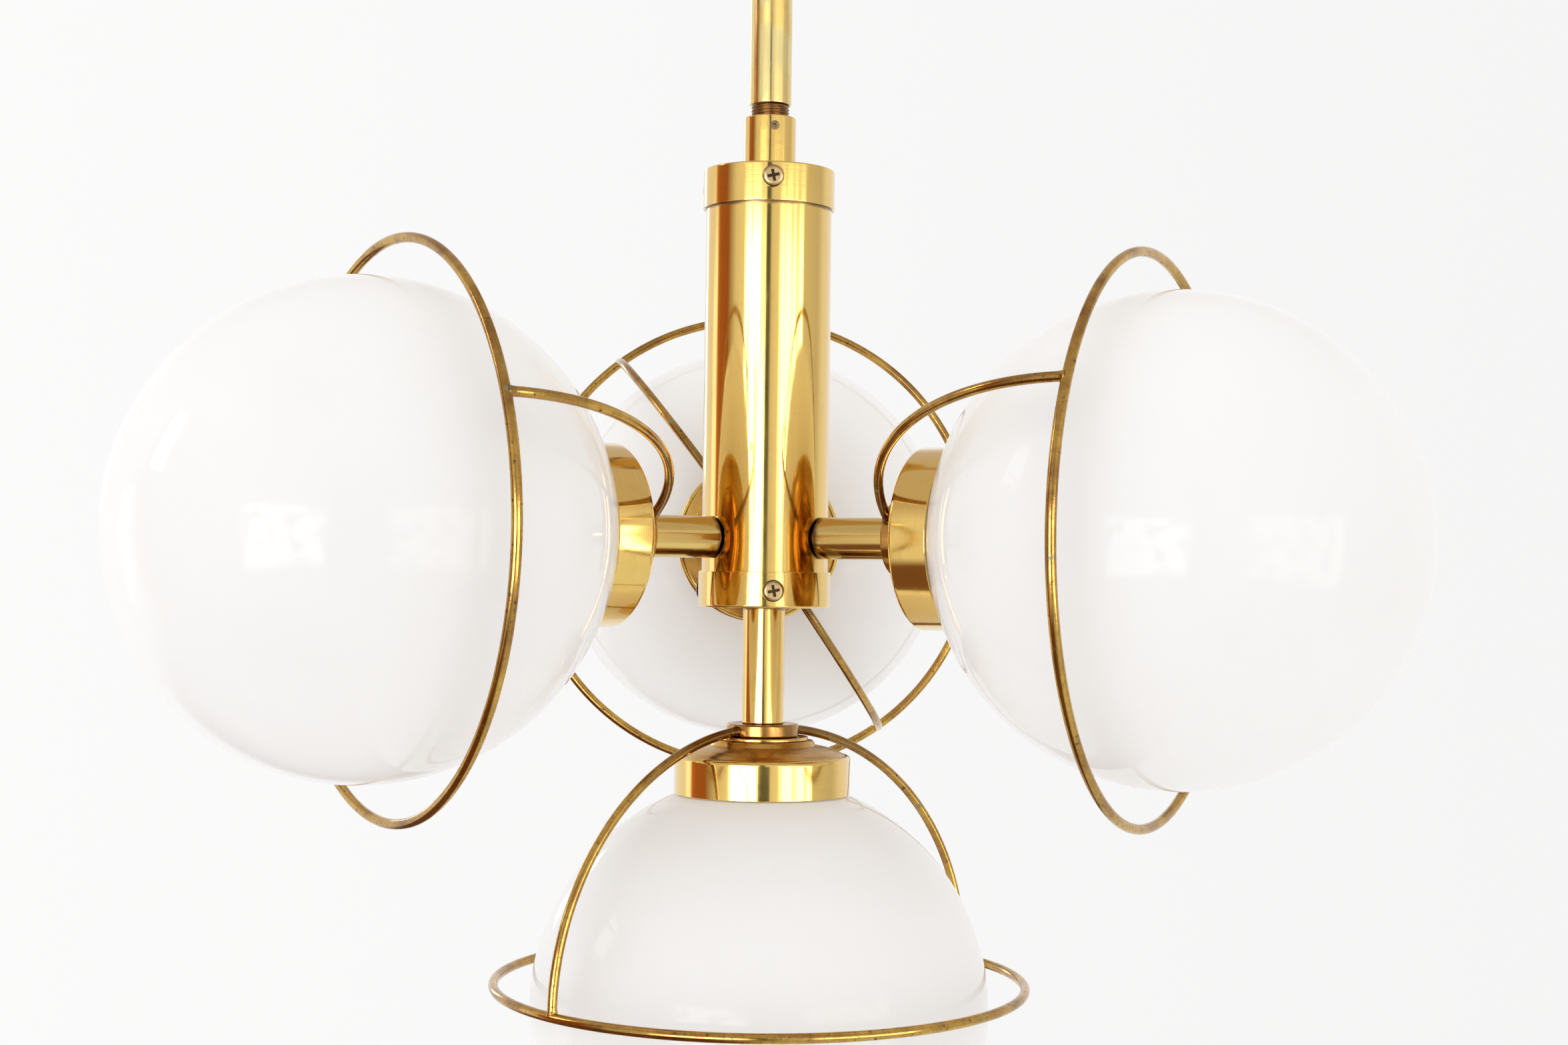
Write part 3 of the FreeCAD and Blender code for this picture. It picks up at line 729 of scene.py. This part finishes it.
def globe(lamp):
    """A glass ball with wall thickness and a neck that has a moulded thread."""
    neck_r = 37.05 * MM
    neck_end = -behind("globe_back")[1]
    join = math.asin(neck_r / GLOBE_R)
    inner_r = GLOBE_R - GLASS_WALL
    bore_r = neck_r - GLASS_WALL
    inner_join = math.asin(bore_r / inner_r)
    steps = 110
    outline = []
    for step in range(steps + 1):
        angle = (math.pi - join) * step / steps
        outline.append((GLOBE_R * math.sin(angle), GLOBE_R * math.cos(angle)))
    thread_top = outline[-1][1]
    ribs = 40
    for step in range(1, ribs):
        height = thread_top + (neck_end - thread_top) * step / ribs
        outline.append((neck_r, height))
    outline += [(neck_r - 0.4 * MM, neck_end), (bore_r + 0.4 * MM, neck_end),
                (bore_r, neck_end + 0.5 * MM)]
    for step in range(steps + 1):
        angle = (math.pi - inner_join) * (1 - step / steps)
        outline.append((inner_r * math.sin(angle), inner_r * math.cos(angle)))

    def moulded_thread(angle, size, height):
        on_neck = abs(size - neck_r) < 1e-6 and neck_end + MM < height < thread_top - 2 * MM
        if not on_neck:
            return size
        phase = height / (4 * MM) - angle / (2 * math.pi)
        return size + 0.18 * MM * math.sin(2 * math.pi * phase)

    builder = lathe(outline, segments=192, closed=False, ripple=moulded_thread)
    lamp_piece("globe", builder, lamp, globe_glass, "opal_glass", body=f"globe_{lamp}")


def lampholder(lamp):
    """A moulded lampholder: a tapered back, a ribbed grip and a bore for the bulb's cap."""
    near, far = behind("lampholder_back")
    r = half_height("lampholder_back")
    back_r = 13 * MM
    body_r = r - 1.2 * MM
    bore = 13.2 * MM
    bore_end = -91 * MM
    corners = [(NIPPLE_R, -far), (back_r, -far), (body_r, -far + 7 * MM),
               (body_r, -far + 16 * MM), (r, -far + 17 * MM), (r, -near), (bore, -near),
               (bore, bore_end), (NIPPLE_R, bore_end)]
    roundings = {1: 1 * MM, 2: 2 * MM, 3: 0.3 * MM, 4: 0.4 * MM, 5: 1.2 * MM, 6: 0.5 * MM}

    def grips(angle, size, height):
        ribbed = size > r - 0.1 * MM and -far + 20 * MM < height < -near - 3 * MM
        return size - 0.35 * MM * (math.cos(angle * 36) > 0.55) if ribbed else size

    outline = []
    parts = 12
    for first, second in zip(corners, corners[1:]):
        outline.append(first)
        if first[0] == second[0] == r:
            length = second[1] - first[1]
            outline += [(r, first[1] + length * part / parts) for part in range(1, parts)]
            roundings = {key + (parts - 1 if key > 4 else 0): size
                         for key, size in roundings.items()}
    outline.append(corners[-1])
    builder = lathe(eased(outline, roundings), segments=360, ripple=grips)
    lamp_piece("lampholder", builder, lamp, holder_plastic, "lampholder_plastic")


def bulb(lamp):
    """A frosted bulb on a rolled screw cap."""
    body = f"bulb_{lamp}"
    near, far = behind("bulb_glass_back")
    ball_r = half_height("bulb_glass_back")
    centre = -near - ball_r
    neck_r = 12.6 * MM
    rise = ball_r / 2
    shoulder_r = ball_r * math.sqrt(3) / 2
    cone = centre - rise - (shoulder_r - neck_r) * shoulder_r / rise
    outline = [(0, -near)]
    for step in range(1, 49):
        angle = math.radians(120) * step / 48
        outline.append((ball_r * math.sin(angle), centre + ball_r * math.cos(angle)))
    outline += [(neck_r + 1.2 * MM, cone + 2 * MM), (neck_r, cone - 1 * MM), (neck_r, -far)]
    outline += [(neck_r - MM, -far), (0, -far)]
    lamp_piece("bulb_glass", lathe(outline, segments=96, closed=False), lamp, bulb_frost,
               "bulb_glass", body=body)
    near, far = behind("bulb_cap_back")
    cap_r = half_height("bulb_cap_back")
    pitch = 3.6 * MM

    def screw(angle, size, height):
        threaded = size > cap_r * 0.95 and -far + 5.5 * MM < height < -near - 2 * MM
        phase = 2 * math.pi * height / pitch - angle
        return size - 0.55 * MM * (0.5 + 0.5 * math.sin(phase)) if threaded else size

    wall = [(cap_r, -near + (-far + 5 * MM + near) * step / 70) for step in range(71)]
    outline = wall + [(9 * MM, -far + 2.5 * MM), (4.6 * MM, -far + 0.6 * MM),
                      (4.2 * MM, -far), (0, -far)]
    outline = [(cap_r - 0.6 * MM, -near)] + outline
    lamp_piece("bulb_cap", lathe(outline, segments=96, closed=False, ripple=screw), lamp,
               cap_metal, "bulb_cap_metal", body=body)


for lamp in SIDE_LAMPS:
    arm(lamp)
for lamp in LAMPS:
    hub(lamp)
    washer(lamp)
    cup(lamp)
    cage(lamp)
    globe(lamp)
    lampholder(lamp)
    bulb(lamp)


# Nodes that keep their CAD shape

KEPT = {"ceiling_bracket": zinc, "hanger_nipple": zinc, "hanger_lock_nut": zinc,
        "ceiling_canopy": cad_brass, "canopy_collar": cad_brass,
        "canopy_grub_screw": steel, "coupling_collar": cad_brass, "collar_set_screw": steel,
        "body_nipple": zinc, "top_cap_screws": top_screw_metal,
        "bottom_cap_screws": bottom_screw_metal,
        "lock_nuts": zinc, "connector_block": connector_plastic, "supply_lead": lead_rubber,
        "lamp_leads": lead_rubber, "arm_tie_rods": zinc, "drop_tie_rod": zinc}
for name, material in KEPT.items():
    item = frame["nodes"][name]
    for slot in item.material_slots:
        slot.material = material


# Floor, light and camera

ROOM_HEIGHT = 2.7
FLOOR_R = 4.5
CAMERA_PLACE = (-0.0364, -0.9564, ARM_LEVEL - 0.0132)
CAMERA_LENS = 50.03
SENSOR_WIDTH = 36
YAW, PITCH, ROLL = 0.0467, 0.0211, 0.0125
SOFT_LIGHT = 1.19


def floor():
    """A pale round floor, a room's height under the ceiling, that fades out to its rim."""
    builder = bmesh.new()
    bmesh.ops.create_circle(builder, cap_ends=True, segments=96, radius=FLOOR_R)
    material, tree, shader = new_material("floor_paint")
    reach = node(tree, "ShaderNodeVectorMath", {0: place_in(tree)}, output=1,
                 operation="LENGTH")
    grain = cloud(tree, (8, 8, 8), detail=4)
    connect(tree, shader, Alpha=fit(tree, reach, 2.4, 4.4, 1, 0),
            Base_Color=mixed(tree, grain, (0.92, 0.915, 0.91, 1), (0.90, 0.895, 0.89, 1)))
    shader.inputs["Roughness"].default_value = 0.7
    drop = Matrix.Translation((0, 0, cad_high.z - ROOM_HEIGHT))
    item = new_object("floor", builder, drop, material, smooth=False)
    item.visible_glossy = False


WHITE = (1, 1, 1)
DAYLIGHT = (1, 0.97, 0.90)
WOOD = (1, 0.34, 0.11)
SHADOW = (0.85, 0.95, 1.0)
# Room colours are stored as parts of the brightest level, which the background multiplies back
BRIGHTEST = 9.0
# The walls as polished brass sees them: bearing to the right of the camera's side, level, tint
WALLS = [(-180, 0.95, WHITE), (-122, 1.00, WHITE), (-119, 1.60, WHITE), (-109, 1.60, WHITE),
         (-105, 0.60, WOOD), (-97, 0.42, WOOD), (-80, 0.38, WOOD), (-70, 0.60, DAYLIGHT),
         (-62, 0.90, WHITE), (-46, 1.05, WHITE), (-42, 9.00, WHITE), (-8, 9.00, WHITE),
         (-6, 0.16, SHADOW), (0, 0.16, SHADOW), (4, 0.90, WHITE), (17, 1.05, WHITE),
         (22, 5.50, DAYLIGHT), (62, 5.50, DAYLIGHT), (66, 0.80, WHITE), (100, 0.68, WHITE),
         (116, 0.95, WHITE), (180, 0.95, WHITE)]


def shade(level, tint=WHITE):
    return [level / BRIGHTEST * part for part in tint] + [1]


CEILING = shade(1, (0.64, 0.59, 0.58))
GAP = shade(1, (0.13, 0.15, 0.15))
FLOOR_LEFT = shade(1, (0.22, 0.11, 0.06))
FLOOR_RIGHT = shade(1, (0.94, 0.98, 0.96))
PANE = shade(4.5)


def window(tree, bearing, height, at, half_width, bottom, top):
    """1 inside a patch of the room around a bearing, between two sines of elevation."""
    off = maths(tree, "ABSOLUTE", maths(tree, "SUBTRACT", bearing, math.radians(at)), 0.0)
    inside = fit(tree, off, math.radians(half_width), math.radians(half_width - 0.7), 0, 1)
    above = fit(tree, height, bottom, bottom + 0.012, 0, 1)
    below = fit(tree, height, top, top - 0.012, 0, 1)
    return maths(tree, "MULTIPLY", inside, maths(tree, "MULTIPLY", above, below))


def reflected_room(tree, bearing, height):
    """Windows in front, brown furniture to the left, pale walls behind.

    height is the sine of the elevation. Above and below the windows the walls are tamed to
    level 1 at most, and further out they turn into a ceiling and a floor.
    """
    ramp = tree.nodes.new("ShaderNodeValToRGB")
    tree.links.new(fit(tree, bearing, -math.pi, math.pi, 0, 1), ramp.inputs[0])
    stops = ramp.color_ramp.elements
    for index, (degrees, level, tint) in enumerate(WALLS):
        place = (degrees + 180) / 360
        stop = stops[index] if index < 2 else stops.new(place)
        stop.position = place
        stop.color = shade(level, tint)
    walls = ramp.outputs[0]
    tamed = node(tree, "ShaderNodeVectorMath", {0: walls, 1: (1.0 / BRIGHTEST,) * 3},
                 operation="MINIMUM")
    way = node(tree, "ShaderNodeTexCoord", output=0)
    clutter = node(tree, "ShaderNodeTexNoise", {"Vector": way, "Scale": 9.0, "Detail": 4.0})
    walls = mixed(tree, fit(tree, clutter, 0.52, 0.60, 0, 0.85), walls, tamed)
    walls = mixed(tree, fit(tree, height, 0.140, 0.175, 0, 1), walls, tamed)
    walls = mixed(tree, fit(tree, height, -0.26, -0.30, 0, 1), walls, tamed)
    walls = mixed(tree, fit(tree, height, 0.35, 0.60, 0, 1), walls, CEILING)
    gap = window(tree, bearing, height, 0.0, 8.0, -0.30, -0.05)
    walls = mixed(tree, gap, walls, GAP)
    ground = mixed(tree, fit(tree, bearing, -0.5, 0.5, 0, 1), FLOOR_LEFT, FLOOR_RIGHT)
    walls = mixed(tree, fit(tree, height, -0.38, -0.52, 0, 1), walls, ground)
    for patch in ((-97, 5.5, 0.26, 0.53), (-150, 4.0, 0.04, 0.30)):
        walls = mixed(tree, window(tree, bearing, height, *patch), walls, PANE)
    return walls


def studio():
    """A pale even studio, with a room for the polished parts to mirror.

    Diffuse light, mirrored light and the backdrop each have their own colours.
    """
    world = bpy.data.worlds.new("studio")
    bpy.context.scene.world = world
    world.use_nodes = True
    tree = world.node_tree
    tree.nodes.clear()
    split = tree.nodes.new("ShaderNodeSeparateXYZ")
    tree.links.new(node(tree, "ShaderNodeTexCoord", output=0), split.inputs[0])
    x, y, height = split.outputs
    bearing = maths(tree, "ARCTAN2", x, maths(tree, "MULTIPLY", y, -1.0))
    room = reflected_room(tree, bearing, height)
    mirrored = node(tree, "ShaderNodeBackground", {"Color": room, "Strength": BRIGHTEST})
    sides = mixed(tree, fit(tree, x, -0.7, 0.7, 0, 1), (1.0, 0.995, 0.99, 1),
                  (0.865, 0.845, 0.825, 1))
    soft = mixed(tree, fit(tree, height, 0.1, -0.7, 0, 1), sides, (0.90, 0.87, 0.855, 1))
    diffuse = node(tree, "ShaderNodeBackground", {"Color": soft, "Strength": SOFT_LIGHT})
    paper = mixed(tree, fit(tree, x, -0.35, 0.35, 0, 1), (0.968, 0.966, 0.964, 1),
                  (0.918, 0.916, 0.914, 1))
    seen = node(tree, "ShaderNodeBackground", {"Color": paper, "Strength": 1.0})
    kinds = tree.nodes.new("ShaderNodeLightPath").outputs
    lit = node(tree, "ShaderNodeMixShader", {0: kinds["Is Glossy Ray"], 1: diffuse, 2: mirrored})
    shown = node(tree, "ShaderNodeMixShader", {0: kinds["Is Camera Ray"], 1: lit, 2: seen})
    surface = tree.nodes.new("ShaderNodeOutputWorld")
    tree.links.new(shown, surface.inputs[0])


def camera():
    """A view from the front, level with the arms and cutting the rod and the drop globe."""
    forward = Vector((math.sin(YAW) * math.cos(PITCH), math.cos(YAW) * math.cos(PITCH),
                      math.sin(PITCH)))
    right = forward.cross(Vector((0, 0, 1))).normalized()
    up = right.cross(forward)
    side = right * math.cos(ROLL) + up * math.sin(ROLL)
    top = up * math.cos(ROLL) - right * math.sin(ROLL)
    data = bpy.data.cameras.new("camera")
    data.sensor_width = SENSOR_WIDTH
    data.lens = CAMERA_LENS
    item = bpy.data.objects.new("camera", data)
    turn = Matrix((side, top, -forward)).transposed().to_4x4()
    item.matrix_world = Matrix.Translation(CAMERA_PLACE) @ turn
    bpy.context.scene.collection.objects.link(item)
    bpy.context.scene.camera = item


floor()
studio()
camera()
bpy.context.scene.view_settings.view_transform = "Standard"
bpy.context.scene.view_settings.look = "None"
